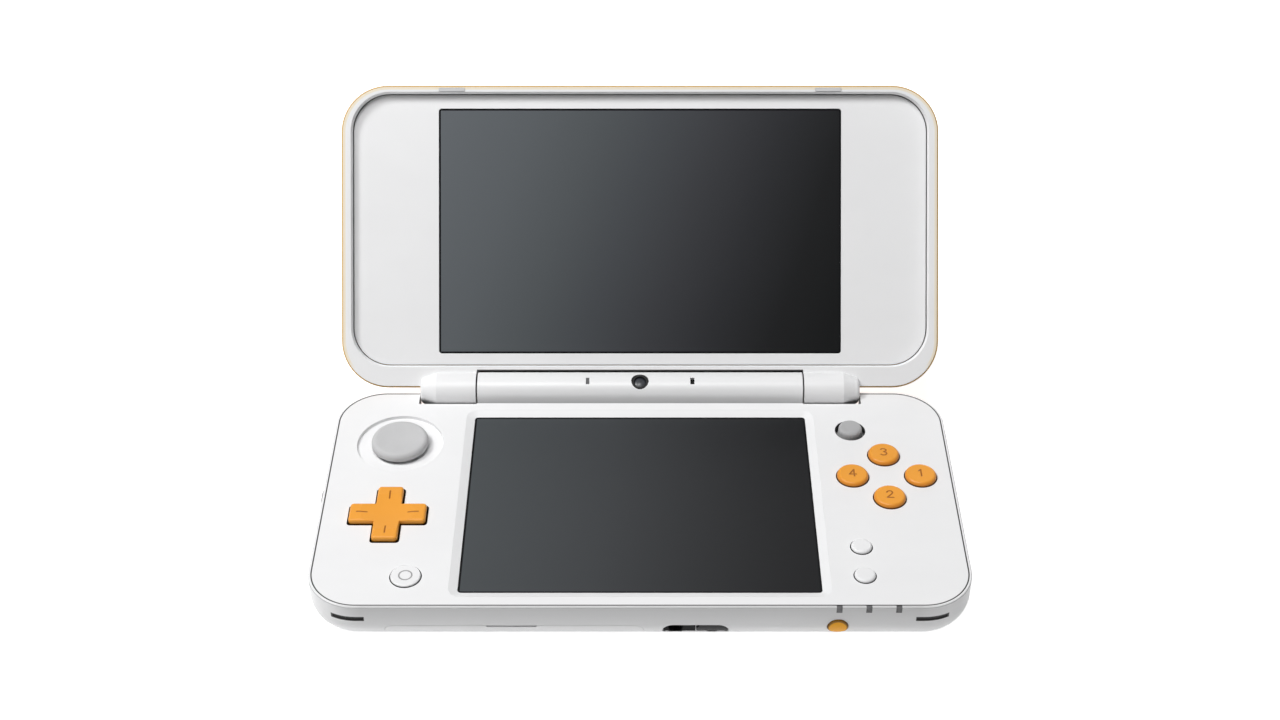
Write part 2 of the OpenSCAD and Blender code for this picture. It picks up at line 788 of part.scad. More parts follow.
module nub_cap() {
  r = nub_d / 2;
  low = board_z + 1.6;
  top = base_h + 1.4;
  round_r = 0.8;
  color(mid_grey) translate([nub_x, nub_y, 0]) difference() {
    rotate_extrude() {
      translate([0, low]) square([r + 1.6, 0.5]);
      polygon([[0, low], [r - 0.5, low], [r + 0.15, low + 2], [r, top - round_r], [0, top - round_r]]);
      rounded_top(r, top, round_r);
    }
    translate([0, 0, nub_ball_z]) sphere(1.28);
  }
}

module power_switch() {
  back = front_y + 7.5;
  color(metal) {
    span([power_x - 3, front_y + 6.4, under_z - 3.4], [power_x + 3, back + 1.6, under_z]);
    along_y(power_x, front_y + 5.6, back, power_z, 0.9);
  }
}

module power_button() {
  color(orange) {
    // its face follows the curve of the case
    intersection() {
      along_y(power_x, front_y - 1, front_y + 4.4, power_z, power_d / 2);
      base_block(-0.3);
    }
    along_y(power_x, front_y + 4.25, front_y + 5.05, power_z, power_d / 2 + 0.5);
  }
}

module pivot_pins() {
  color(metal) {
    both_sides() {
      translate([shoulder_pin.x, shoulder_pin.y, shoulder_low - 1])
        cylinder(r = pin_r, h = shoulder_top - 1.2);
      translate([trigger_pin.x, trigger_pin.y, trigger_low - 0.8])
        cylinder(r = pin_r, h = trigger_top - 1.6);
    }
    for (x = [door_l - 1.3, door_r - 1.5])
      translate([x, door_axis[0], door_axis[1]]) rotate([0, 90, 0]) cylinder(r = door_pin_r, h = 2.8);
  }
}

module shoulder_switches() {
  color(metal) both_sides() {
    span([shoulder_x + 1, rear_y - 8.4, under_z - 2.2], [shoulder_x + 6, rear_y - 5.6, under_z]);
    along_y(shoulder_x + 3.5, rear_y - 6, rear_y - 4.9, under_z - 1.1, 0.7);
    span([trigger_x + 0.6, rear_y - 9.4, under_z - 2.2], [trigger_x + 4.3, rear_y - 6.6, under_z]);
    along_y(trigger_x + 2.7, rear_y - 7, rear_y - 5.2, under_z - 1.1, 0.7);
  }
}

module shoulder_button() {
  color(white) {
    difference() {
      union() {
        intersection() {
          difference() {
            base_block(0);
            base_block(shoulder_t);
          }
          translate([0, 0, shoulder_low + 0.25])
            linear_extrude(shoulder_top - shoulder_low - 0.5) shoulder_plan(0);
        }
        translate([shoulder_pin.x, shoulder_pin.y, shoulder_low + 0.25])
          cylinder(r = 1.75, h = shoulder_top - shoulder_low - 0.5);
        // rib that reaches for the switch
        span([shoulder_x + 2.9, rear_y - 4.1, under_z - 2], [shoulder_x + 4.1, rear_y - 1, under_z - 0.2]);
      }
      translate([shoulder_pin.x, shoulder_pin.y, 0]) cylinder(r = pin_r + fit, h = base_h);
    }
  }
}

module shoulder_button_right() {
  shoulder_button();
}

module shoulder_button_left() {
  mirror([1, 0, 0]) shoulder_button();
}

module trigger_button() {
  color(white) difference() {
    union() {
      intersection() {
        difference() {
          base_block(0);
          base_block(shoulder_t);
        }
        span([trigger_x, rear_y - 6, trigger_low + 0.25], [trigger_x + trigger_w, rear_y + 1, trigger_top]);
      }
      translate([trigger_pin.x, trigger_pin.y, trigger_low + 0.25])
        cylinder(r = 1.5, h = trigger_top - trigger_low - 0.25);
      span([trigger_pin.x - 1.5, trigger_pin.y, trigger_low + 0.25],
        [trigger_pin.x + 1.5, rear_y - 1.7, trigger_top]);
      // rib that reaches for the switch
      span([trigger_x + 2.1, rear_y - 4.6, under_z - 2], [trigger_x + 3.3, rear_y - 1, under_z - 0.2]);
    }
    translate([trigger_pin.x, trigger_pin.y, 0]) cylinder(r = pin_r + fit, h = base_h);
    difference() {
      span([trigger_x - 1, rear_y - 6, 0], [trigger_x + trigger_w + 1, rear_y + 2, base_h]);
      base_block(0);
    }
  }
}

module trigger_button_right() {
  trigger_button();
}

module trigger_button_left() {
  mirror([1, 0, 0]) trigger_button();
}

module volume_control() {
  inner = pad_x - housing_w / 2 - 0.1;
  color(metal) span([-side_x + wall + 0.1, volume_y - 6.4, board_z], [inner, volume_y + 6.4, board_z + 0.5]);
}

module volume_slider() {
  color(light_grey) translate([0, volume_y, volume_z]) {
    translate([-side_x - 0.8, 0, 0]) rotate([0, 90, 0]) plate(1.6, volume_len, 3, 0.5);
    span([-side_x + wall + 0.2, -3, -0.8], [-side_x + wall + 2.2, 3, 0.8]);
    span([-side_x + 0.6, -1.6, -0.7], [-side_x + wall + 1, 1.6, 0.7]);
  }
}

module headphone_jack() {
  nose = pocket_y - 0.2;
  color(dark_grey) difference() {
    intersection() {
      union() {
        intersection() {
          through_front(nose, pocket_y)
            stadium(pocket_l + 0.1, pocket_mid + 2, pocket_low + 0.1, pocket_top - 0.1);
          span([0, front_y, pocket_low], [pocket_mid - 0.1, 0, base_h]);
        }
        along_y(jack_x, nose, pocket_y + 3.6, jack_z, jack_d / 2 + 0.45);
        span([jack_x - 3.2, pocket_y + 3.5, floor_t + 0.5], [jack_x + 3.2, nose + jack_len + 1, under_z]);
      }
      base_block(0.25);
    }
    along_y(jack_x, nose - 1, nose + jack_len, jack_z, jack_d / 2);
  }
}

module stylus_sleeve() {
  y1 = pocket_y + stylus_len - 1;
  color(black) difference() {
    span([stylus_x - 2.9, edge_y, floor_t], [stylus_x + 2.9, y1, under_z]);
    along_y(stylus_x, edge_y - 1, y1 - 1, jack_z, stylus_r + 0.1);
  }
}

module stylus() {
  tip = 5;
  color(dark_grey) intersection() {
    union() {
      through_front(front_y + 0.4, pocket_y - 0.05)
        stadium(pocket_mid + 0.1, pocket_r - 0.1, pocket_low + 0.1, pocket_top - 0.1);
      along_y(stylus_x, pocket_y - 0.6, pocket_y + stylus_len - tip - 3, jack_z, stylus_r);
      translate([stylus_x, pocket_y + stylus_len - tip - 3, jack_z]) rotate([-90, 0, 0])
        cylinder(r1 = stylus_r, r2 = 0.5, h = tip);
    }
    base_block(0.25);
  }
}

module game_card_slot() {
  low = floor_t + 0.55;
  color(black) difference() {
    span([card_x - card_w / 2 - 1, card_y, floor_t],
      [card_x + card_w / 2 + 1, card_y + card_len + 1, under_z]);
    span([card_x - card_w / 2, card_y - 1, low], [card_x + card_w / 2, card_y + card_len, low + card_h]);
  }
}

module memory_card_slot() {
  color(metal) difference() {
    span([memory_x - 6.5, card_y + 0.5, floor_t], [memory_x + 6.5, card_y + 15.5, floor_t + 2.2]);
    span([memory_x - 5.7, card_y - 1, floor_t + 0.6], [memory_x + 5.7, card_y + 14.5, floor_t + 1.7]);
  }
}

module card_door() {
  arc = [edge_y, edge_r];
  color(white) difference() {
    union() {
      intersection() {
        translate([door_l, 0, 0]) rotate([90, 0, 90]) linear_extrude(door_r - door_l) intersection() {
          difference() {
            translate(arc) circle(edge_r);
            translate(arc) circle(edge_r - door_t);
          }
          polygon([
            arc, arc + 20 * [-1, 0], [arc.x - 20, -20],
            arc - 20 * [cos(door_angle), sin(door_angle)]]);
        }
        through_front(front_y - 1, edge_y) front_outline(door_l, door_r, 0, door_top, door_corner);
      }
      for (x = [door_l + 0.3, door_r - 1.5])
        translate([x, door_axis[0], door_axis[1]]) rotate([0, 90, 0]) cylinder(r = 0.88, h = 1.2);
    }
    for (x = [door_l - 1, door_r - 2])
      translate([x, door_axis[0], door_axis[1]]) rotate([0, 90, 0]) cylinder(r = door_pin_r + fit, h = 3);
    // groove for a fingernail
    span([-36.4, front_y - 1, door_top - 0.5], [-24.5, front_y + 0.9, door_top + 1]);
  }
}

module speakers() {
  color(black) both_sides() {
    difference() {
      span([corner_x - 6.2, front_y + 3.1, 4.2], [corner_x + 3.8, front_y + 7.3, slit_z + 0.8]);
      span([corner_x - 5.2, front_y + 2, slit_z - 2.6], [corner_x + 2.8, front_y + 3.6, slit_z + 0.4]);
    }
    // dust strip just inside the slit
    speaker_slit(0.2, wall);
  }
}

module charging_port() {
  color(metal) translate([port_x, rear_y - 7, port_z]) difference() {
    rotate([-90, 0, 0]) plate(8.7, 3.3, 6, 1.15);
    translate([0, 1, 0]) rotate([-90, 0, 0]) plate(8.1, 2.7, 6, 0.9);
    translate([-5, -1, 1.9]) cube([10, 10, 5]);
  }
  color(black) translate([port_x - 3, rear_y - 6.2, port_z - 0.4]) cube([6, 4, 0.8]);
}

module infrared_window() {
  color(black) translate([0, rear_y - 3.2, port_z]) rotate([-90, 0, 0]) plate(10, 3.2, 2.9, 0.7);
}

module indicator_lights() {
  color(mid_grey) {
    for (x = light_xs)
      span([x - light_w / 2, front_y + 0.05, light_low], [x + light_w / 2, front_y + lip_t, base_h - 0.1]);
    eye_direction(-eye_x) translate([-0.45, -1, 2.2]) cube([0.9, 2, 2.35]);
  }
}

module case_screws() {
  color(metal) for (p = screw_places) translate([p.x, p.y, 0]) difference() {
    union() {
      translate([0, 0, 0.3]) cylinder(r = 1.6, h = 0.9);
      translate([0, 0, 0.3]) cylinder(r = screw_r, h = board_z + 2);
    }
    // cross recess
    for (a = [0, 90]) rotate([0, 0, a]) translate([-0.9, -0.2, -1]) cube([1.8, 0.4, 1.7]);
  }
}

// ---- lid, drawn closed and then opened ----

module knuckle() {
  tip = knuckle_tip;
  translate([knuckle_x, hinge_y, hinge_z]) rotate([0, 90, 0]) difference() {
    rotate_extrude() {
      square([barrel_r, knuckle_len - 4.4]);
      polygon([
        [0, knuckle_len - 4.5], [barrel_r, knuckle_len - 4.4], [tip + 0.3, knuckle_len - 1.3],
        [0, knuckle_len - 1.3]]);
      translate([0, knuckle_len - 1.31]) square([tip - 1, 1.31]);
      intersection() {
        translate([tip - 1, knuckle_len - 1.3]) circle(1.3);
        translate([0, knuckle_len - 1.3]) square([tip + 1, 1.3]);
      }
    }
    translate([0, 0, -1]) cylinder(r = hinge_shaft_r + fit, h = 10.6);
  }
}

// Room for the middle barrel, which the lid turns round.
module barrel_cut() {
  hinge_rod(barrel_r + barrel_gap, -knuckle_x, knuckle_x);
}

// The hollow of the lid cover, smaller by a gap.
module lid_hollow(gap) {
  t = cover_t + gap;
  translate([0, lid_y, rim_z + cover_low - 1])
    soft_cap(shell_w - 2 * t, lid_d - 2 * t, lid_h - cover_low - t + 1, corner_r - t, lid_edge_r - cover_t);
}

module lid_cover() {
  color(orange) opened() difference() {
    translate([0, lid_y, rim_z + cover_low])
      soft_cap(shell_w, lid_d, lid_h - cover_low, corner_r, lid_edge_r);
    lid_hollow(0);
    barrel_cut();
    both_sides() {
      hinge_rod(barrel_r + 0.1, barrel_len / 2, knuckle_end - 4.2);
      translate([knuckle_end - 4.25, hinge_y, hinge_z]) rotate([0, 90, 0])
        cylinder(r1 = barrel_r + 0.1, r2 = knuckle_tip + 0.5, h = 3);
      hinge_rod(knuckle_tip + 0.5, knuckle_end - 1.3, knuckle_end + 0.1);
    }
  }
}

module lid_frame() {
  inner = cover_t + 0.05;
  depth = recess_h + lid_panel_t;
  color(white) opened() {
    difference() {
      union() {
        translate([0, lid_y, rim_z])
          plate(shell_w - 2 * cover_edge, lid_d - 2 * cover_edge, cover_low - 0.03, corner_r - cover_edge);
        translate([0, lid_y, rim_z])
          plate(shell_w - 2 * inner, lid_d - 2 * inner, depth, corner_r - inner);
        // channel that closes the lid round the middle barrel
        intersection() {
          hinge_rod(barrel_r + 1.1, -knuckle_x - 0.8, knuckle_x + 0.8);
          lid_hollow(0.3);
          span([-side_x, 0, rim_z], [side_x, rear_y, rim_z + lid_h]);
        }
      }
      translate([0, recess_y, rim_z - 1]) plate(recess_w, recess_d, depth + 2, corner_r - 2.5);
      // narrow slope down into the recess
      translate([0, recess_y, rim_z]) swept_band(recess_w, recess_d, corner_r - 2.5) polygon([
        [corner_r - 2.6, -0.5], [corner_r - 2.1, -0.5], [corner_r - 2.1, 0], [corner_r - 2.5, 1],
        [corner_r - 2.6, 1]]);
      barrel_cut();
      // room for the bumpers and the knuckle bores
      for (s = [-1, 1]) translate([s * bumper_x, bumper_y, rim_z - 1]) plate(7.1, 0.95, 1.33, 0.3);
      both_sides() hinge_rod(hinge_shaft_r + fit, knuckle_x - 1, knuckle_x + 9.6);
    }
    difference() {
      both_sides() knuckle();
      translate([0, recess_y, rim_z - 1]) plate(recess_w, recess_d, 12, corner_r - 2.5);
    }
  }
}

module lid_panel() {
  color(white) opened() difference() {
    translate([0, recess_y, lid_panel_z])
      plate(recess_w - 2 * panel_seam, recess_d - 2 * panel_seam, lid_panel_t, corner_r - 2.5 - panel_seam);
    translate([0, screen_y, lid_panel_z - 1])
      plate(upper_w + 2 * glass_gap, screen_d + 2 * glass_gap, 4, 0.8);
  }
}

module upper_screen_lens() {
  color(screen_grey) opened() translate([0, screen_y, lid_panel_z + 0.08])
    plate(upper_w, screen_d, lid_panel_t - 0.08, 0.75);
}

module upper_display() {
  color(dark_grey) opened() translate([0, screen_y, lid_panel_z + lid_panel_t])
    plate(upper_w + 4.4, screen_d + 4.4, upper_display_t, 0.8);
}

module lid_bumpers() {
  color(light_grey) opened() for (s = [-1, 1])
    translate([s * bumper_x, bumper_y, rim_z - 0.15]) plate(7, 0.85, 0.45, 0.25);
}

module lid_magnet() {
  color(metal) opened()
    translate([-(recess_w / 2 - 8), recess_y - recess_d / 2 + 8, lid_panel_z + lid_panel_t])
      cylinder(r = 2.5, h = 1.8);
}

bottom_case();
control_panel();
touch_panel();
lower_display();
display_tray();
main_board();
processor_shield();
battery();
hinge_barrel();
camera_modules();
camera_lenses();
microphone();
hinge_units();
circle_pad_housing();
left_membrane();
right_membrane();
d_pad_seat();
nub_sensor();
power_switch();
pivot_pins();
shoulder_switches();
volume_control();
headphone_jack();
stylus_sleeve();
game_card_slot();
memory_card_slot();
speakers();
charging_port();
infrared_window();
indicator_lights();
case_screws();
circle_pad_carriage();
circle_pad_skirt();
circle_pad_cap();
d_pad_pivot();
d_pad();
face_button_right();
face_button_front();
face_button_back();
face_button_left();
start_button();
select_button();
home_button();
power_button();
nub_pivot();
nub_cap();
shoulder_button_left();
shoulder_button_right();
trigger_button_left();
trigger_button_right();
volume_slider();
stylus();
card_door();
lid_cover();
lid_frame();
lid_panel();
upper_screen_lens();
upper_display();
lid_bumpers();
lid_magnet();
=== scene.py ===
"""Looks of the clamshell handheld game console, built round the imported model."""
import json
import math

import bpy
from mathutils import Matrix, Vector


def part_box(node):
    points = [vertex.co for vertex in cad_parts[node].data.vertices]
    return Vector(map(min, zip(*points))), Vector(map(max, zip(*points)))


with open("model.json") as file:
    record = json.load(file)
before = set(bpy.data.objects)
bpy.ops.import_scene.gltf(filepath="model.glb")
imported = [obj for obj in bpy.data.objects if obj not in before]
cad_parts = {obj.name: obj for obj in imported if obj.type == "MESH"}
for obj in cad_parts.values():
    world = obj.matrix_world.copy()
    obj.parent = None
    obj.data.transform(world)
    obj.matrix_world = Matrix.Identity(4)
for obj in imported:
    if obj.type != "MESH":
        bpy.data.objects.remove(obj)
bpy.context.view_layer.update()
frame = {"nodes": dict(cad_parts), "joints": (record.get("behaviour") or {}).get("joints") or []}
MM = 0.001


def size_of(node):
    """Width, depth and height of a node's box, in millimetres."""
    low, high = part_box(node)
    return (high - low) / MM


def middle_of(node):
    """The middle of a node's box, in millimetres."""
    low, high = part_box(node)
    return (low + high) / (2 * MM)


# Where things lie, in millimetres. The case stands on the ground, so its height is also its top.
BASE_W, BASE_D, BASE_TOP = size_of("bottom_case")
BASE_R = 12.5
LIP = 0.7  # from the skin of the case to the seam round the control panel
FRONT_X, FRONT_Y, FRONT_Z = 66.0, -38.0, 4.5  # limits of the painted shade on the front wall
SLIT_X, SLIT_Y, SLIT_Z = (65.3, 73.2), -30.0, (7.95, 9.25)  # a speaker slit with its rounded edges, painted dark as shade
LOWER_W, SCREEN_D = size_of("touch_panel").xy
UPPER_W = size_of("upper_screen_lens").x
SCREEN_Y = middle_of("touch_panel").y
SCREEN_BORDER = 0.45  # the black print round both screens
SLOPE, SLOPE_DEPTH = 2.3, 0.71  # the slope round the lower screen
DISH, DISH_R, DISH_DEPTH = middle_of("circle_pad_cap"), 11.08, 1.2

hinge = next(joint for joint in frame["joints"] if joint["name"] == "lid_hinge")
HINGE_Y, HINGE_Z = (v / MM for v in hinge["pos_m"][1:])
OPEN = math.radians(-hinge["range_deg"][0])  # the lid at rest, counted from shut
BARREL_L = size_of("hinge_barrel").x
BARREL_LIT_Z = 15.2  # above this height the barrel has no painted shade
KNUCKLE_X, CHANNEL_R = BARREL_L / 2 + 0.25, 5.4  # the channel round the barrel, between the knuckles, painted dark as shade

# The lid as it lies when it is shut.
LID_Y, LID_D, RIM_Z = -0.4, 80.6, 12.7
RIM_REFLECTION_Y = (-60, 33)  # the painted reflection of the cover on the white rim reaches up to here, short of the hinge
RECESS_W, RECESS_D, RECESS_R, RECESS_Y, RECESS_Z = 153.6, 72.6, 10.0, -2.3, 14.9
RIB_X, RIB_Y, RIB_PITCH, RIB_DEPTH = (-75.5, 75.5), (-36.5, 34.0), 1.6, 0.16

FACE_R = 4.0  # where the rounded rim of a face button ends
CROSS, DASH = middle_of("d_pad"), (5.1, 7.6)  # a dash begins and ends so far from the middle
HOME, HOME_RING_R = middle_of("home_button"), 1.55
POWER, POWER_R = middle_of("power_button"), 2.35
POWER_DROP = 0.3  # how far the lit part of the power button lies below its middle

# Colours, as linear values.
WHITE = (0.86, 0.86, 0.865)
# Painted reflection of the orange cover on the white rim of the lid.
REFLECTED_CREAM = (0.87, 0.78, 0.62)
ORANGE = (0.86, 0.355, 0.04)
# Orange in painted shade, on the rims of the face buttons and in the grooves of marks on the orange
# buttons.
SHADED_ORANGE = (0.66, 0.20, 0.012)
POWER_ORANGE = (0.93, 0.41, 0.005)
# Painted shade on the edge face of the orange cover.
SHADED_COVER_EDGE = (0.60, 0.40, 0.16)
GREY = (0.55, 0.55, 0.555)
PRINT_BLACK = (0.006, 0.006, 0.007)
# Painted reflections on the upper and lower screens, with stops from left to right.
UPPER_REFLECTION = [
    (0.0, (0.126, 0.138, 0.149)), (0.18, (0.109, 0.120, 0.129)), (0.32, (0.090, 0.099, 0.106)),
    (0.46, (0.0685, 0.074, 0.0815)), (0.60, (0.049, 0.051, 0.0565)), (0.74, (0.030, 0.031, 0.0345)),
    (0.88, (0.015, 0.0155, 0.0165)), (1.0, (0.0095, 0.010, 0.0105))]
LOWER_REFLECTION = [
    (0.0, (0.072, 0.080, 0.085)), (0.4, (0.050, 0.053, 0.057)), (0.7, (0.027, 0.028, 0.030)),
    (1.0, (0.011, 0.011, 0.012))]

# The number on each face button, and its strokes in millimetres from the middle of the number, which
# lies a little behind the middle of the button.
NUMBER_OF = {"right": "1", "front": "2", "back": "3", "left": "4"}
STROKES = {
    "1": [(-0.45, 0.75), (0.1, 1.25), (0.1, -1.25)],
    "2": [(-0.72, 0.7), (-0.5, 1.12), (0, 1.27), (0.5, 1.12), (0.72, 0.65), (0.5, 0.15),
          (-0.75, -1.22), (0.8, -1.22)],
    "3": [(-0.7, 0.95), (-0.3, 1.25), (0.3, 1.22), (0.66, 0.85), (0.58, 0.35), (0.05, 0.08),
          (0.66, -0.3), (0.72, -0.8), (0.32, -1.2), (-0.3, -1.24), (-0.74, -0.92)],
    "4": [(0.35, -1.25), (0.35, 1.25), (-0.85, -0.5), (0.85, -0.5)],
}
NUMBER_BACK = 0.2


# ---- shader helpers ----


class Shader:
    """A principled material with short helpers for its nodes."""

    SOCKETS = {
        "colour": "Base Color", "rough": "Roughness", "metal": "Metallic", "normal": "Normal",
        "specular": "Specular IOR Level", "coat": "Coat Weight", "coat_rough": "Coat Roughness",
        "sheen": "Sheen Weight", "sheen_rough": "Sheen Roughness",
    }

    def __init__(self, name):
        self.mat = bpy.data.materials.new(name)
        self.mat.use_nodes = True
        self.tree = self.mat.node_tree
        self.tree.nodes.clear()
        out = self.node("ShaderNodeOutputMaterial")
        self.bsdf = self.node("ShaderNodeBsdfPrincipled")
        self.link(self.bsdf.outputs[0], out.inputs[0])
        self.place = self.node("ShaderNodeTexCoord").outputs["Object"]

    def node(self, kind, **settings):
        n = self.tree.nodes.new(kind)
        for key, value in settings.items():
            setattr(n, key, value)
        return n

    def link(self, a, b):
        self.tree.links.new(a, b)

    def set(self, **values):
        """Set the material's values, and link those that come from other nodes."""
        for key, value in values.items():
            socket = self.bsdf.inputs[self.SOCKETS[key]]
            if isinstance(value, bpy.types.NodeSocket):
                self.link(value, socket)
            elif isinstance(value, tuple):
                socket.default_value = (*value, 1.0)
            else:
                socket.default_value = value

    # arithmetic

    def math(self, operation, a, b=None):
        n = self.node("ShaderNodeMath", operation=operation)
        for socket, value in zip(n.inputs, (a, b)):
            if isinstance(value, (int, float)):
                socket.default_value = value
            elif value is not None:
                self.link(value, socket)
        return n.outputs[0]

    def plus(self, a, b):
        return self.math("ADD", a, b)

    def minus(self, a, b):
        return self.math("SUBTRACT", a, b)

    def product(self, a, b):
        return self.math("MULTIPLY", a, b)

    def larger(self, a, b):
        return self.math("MAXIMUM", a, b)

    def smaller(self, a, b):
        return self.math("MINIMUM", a, b)

    def spread(self, value, low, high, new_low, new_high):
        """value, moved from one range to another and kept inside it."""
        n = self.node("ShaderNodeMapRange")
        self.link(value, n.inputs["Value"])
        limits = {"From Min": low, "From Max": high, "To Min": new_low, "To Max": new_high}
        for key, limit in limits.items():
            n.inputs[key].default_value = limit
        return n.outputs["Result"]

    def rise(self, value, low_mm, high_mm, top=1.0):
        """0 below the first limit and top above the second."""
        return self.spread(value, low_mm * MM, high_mm * MM, 0.0, top)

    def fall(self, value, low_mm, high_mm, top=1.0):
        """top below the first limit and 0 above the second."""
        return self.spread(value, low_mm * MM, high_mm * MM, top, 0.0)

    def between(self, value, low_mm, high_mm, soft_mm=0.05):
        """1 between the two limits and 0 outside them."""
        return self.product(
            self.rise(value, low_mm - soft_mm, low_mm), self.fall(value, high_mm, high_mm + soft_mm))

    # places on the piece

    def axis(self, name):
        n = self.node("ShaderNodeSeparateXYZ")
        self.link(self.place, n.inputs[0])
        return n.outputs[name]

    def from_middle(self):
        """Distance from the middle plane, to either side."""
        return self.math("ABSOLUTE", self.axis("X"))

    def from_hinge(self):
        """How far behind and how far above the lid's axis a place lies."""
        return self.minus(self.axis("Y"), HINGE_Y * MM), self.minus(self.axis("Z"), HINGE_Z * MM)

    def lid_depth(self):
        """Where a place of the open lid lies from front to back when the lid is shut."""
        behind, above = self.from_hinge()
        turned = self.minus(
            self.product(behind, math.cos(OPEN)), self.product(above, math.sin(OPEN)))
        return self.plus(turned, HINGE_Y * MM)

    def lid_height(self):
        """How high a place of the open lid lies when the lid is shut."""
        behind, above = self.from_hinge()
        turned = self.plus(
            self.product(behind, math.sin(OPEN)), self.product(above, math.cos(OPEN)))
        return self.plus(turned, HINGE_Z * MM)

    def length(self, a, b):
        """Length of the slanting side over two square ones."""
        return self.math("SQRT", self.plus(self.math("POWER", a, 2.0), self.math("POWER", b, 2.0)))

    def rounded_rect(self, across, down, width, depth, radius):
        """Distance to a rounded rectangle, less than 0 inside it. Sizes in millimetres."""
        past = [
            self.minus(self.math("ABSOLUTE", value), (size / 2 - radius) * MM)
            for value, size in ((across, width), (down, depth))]
        corner = self.length(*(self.larger(v, 0.0) for v in past))
        inner = self.smaller(self.larger(*past), 0.0)
        return self.minus(self.plus(corner, inner), radius * MM)

    def base_rect(self, inset):
        """Distance to the outline of the base, moved in by inset millimetres."""
        return self.rounded_rect(
            self.axis("X"), self.axis("Y"), BASE_W - 2 * inset, BASE_D - 2 * inset, BASE_R - inset)

    def flat_distance(self, spot):
        """Distance from a vertical line through a spot given in millimetres."""
        flat = self.node("ShaderNodeVectorMath", operation="MULTIPLY")
        self.link(self.place, flat.inputs[0])
        flat.inputs[1].default_value = (1, 1, 0)
        n = self.node("ShaderNodeVectorMath", operation="DISTANCE")
        self.link(flat.outputs[0], n.inputs[0])
        n.inputs[1].default_value = (spot[0] * MM, spot[1] * MM, 0)
        return n.outputs["Value"]

    def stroke(self, a, b):
        """Distance from a straight stroke between two spots on top of a button."""
        start = Vector((*a, 0)) * MM
        run = Vector((*b, 0)) * MM - start
        flat = self.node("ShaderNodeVectorMath", operation="MULTIPLY_ADD")
        self.link(self.place, flat.inputs[0])
        flat.inputs[1].default_value = (1, 1, 0)
        flat.inputs[2].default_value = -start
        along = self.node("ShaderNodeVectorMath", operation="DOT_PRODUCT")
        self.link(flat.outputs[0], along.inputs[0])
        along.inputs[1].default_value = run / run.length_squared
        share = self.larger(self.smaller(along.outputs["Value"], 1.0), 0.0)
        foot = self.node("ShaderNodeVectorMath", operation="SCALE")
        foot.inputs[0].default_value = run
        self.link(share, foot.inputs["Scale"])
        n = self.node("ShaderNodeVectorMath", operation="DISTANCE")
        self.link(flat.outputs[0], n.inputs[0])
        self.link(foot.outputs[0], n.inputs[1])
        return n.outputs["Value"]

    # patterns

    def noise(self, size_mm, detail=2.0, rough=0.5, stretch=None):
        """Noise whose features are about size_mm across."""
        n = self.node("ShaderNodeTexNoise")
        n.inputs["Scale"].default_value = 1000.0 / size_mm
        n.inputs["Detail"].default_value = detail
        n.inputs["Roughness"].default_value = rough
        place = self.place
        if stretch:
            m = self.node("ShaderNodeMapping")
            m.inputs["Scale"].default_value = stretch
            self.link(place, m.inputs["Vector"])
            place = m.outputs[0]
        self.link(place, n.inputs["Vector"])
        return n.outputs["Fac"]

    def grain(self, size_mm):
        return self.noise(size_mm, 3.0, 0.6)

    def cells(self, size_mm):
        n = self.node("ShaderNodeTexVoronoi")
        n.inputs["Scale"].default_value = 1000.0 / size_mm
        self.link(self.place, n.inputs["Vector"])
        return n.outputs["Distance"]

    def ramp(self, value, stops, smooth=False):
        n = self.node("ShaderNodeValToRGB")
        n.color_ramp.interpolation = "B_SPLINE" if smooth else "LINEAR"
        while len(n.color_ramp.elements) < len(stops):
            n.color_ramp.elements.new(0.5)
        for e, (at, colour) in zip(n.color_ramp.elements, stops):
            e.position = at
            e.color = (*colour, 1.0)
        self.link(value, n.inputs["Fac"])
        return n.outputs["Color"]

    def flow(self, colour, drift):
        """The colour of a moulding, with faint flow marks."""
        marks = self.noise(38, 3.0, 0.55, (1.0, 2.4, 1.0))
        return self.ramp(marks, [(0.25, shade(colour, 1 - drift)), (0.75, shade(colour, 1 + drift))])

    def patchy(self, rough, size_mm=9):
        """Roughness that differs a little from patch to patch."""
        return self.spread(self.noise(size_mm, 4.0, 0.6), 0.3, 0.7, rough * 0.92, rough * 1.08)

    def blend(self, factor, a, b):
        n = self.node("ShaderNodeMix", data_type="RGBA")
        self.link(factor, n.inputs["Factor"])
        for socket, value in ((n.inputs[6], a), (n.inputs[7], b)):
            if isinstance(value, tuple):
                socket.default_value = (*value, 1.0)
            else:
                self.link(value, socket)
        return n.outputs[2]

    def bump(self, height, depth_mm, edge_mm=0.0, under=None):
        """Bump of a real depth, over edges rounded by edge_mm or over the bump called under."""
        n = self.node("ShaderNodeBump")
        n.inputs["Strength"].default_value = 1.0
        n.inputs["Distance"].default_value = depth_mm * MM
        self.link(height, n.inputs["Height"])
        if edge_mm:
            b = self.node("ShaderNodeBevel", samples=4)
            b.inputs["Radius"].default_value = edge_mm * MM
            self.link(b.outputs[0], n.inputs["Normal"])
        if under is not None:
            self.link(under, n.inputs["Normal"])
        return n.outputs[0]


def shade(colour, k):
    """A colour that is k times as light."""
    return tuple(min(1.0, c * k) for c in colour)


# ---- kinds of material ----


def moulded(name, colour, rough, grain_mm=0.22, grain_depth=0.006, edge_mm=0.12, specular=0.3):
    """Moulded plastic: spark-eroded grain, faint flow marks in the colour and patchy gloss."""
    s = Shader(name)
    s.set(
        colour=s.flow(colour, 0.02), rough=s.patchy(rough),
        normal=s.bump(s.grain(grain_mm), grain_depth, edge_mm), specular=specular)
    return s.mat


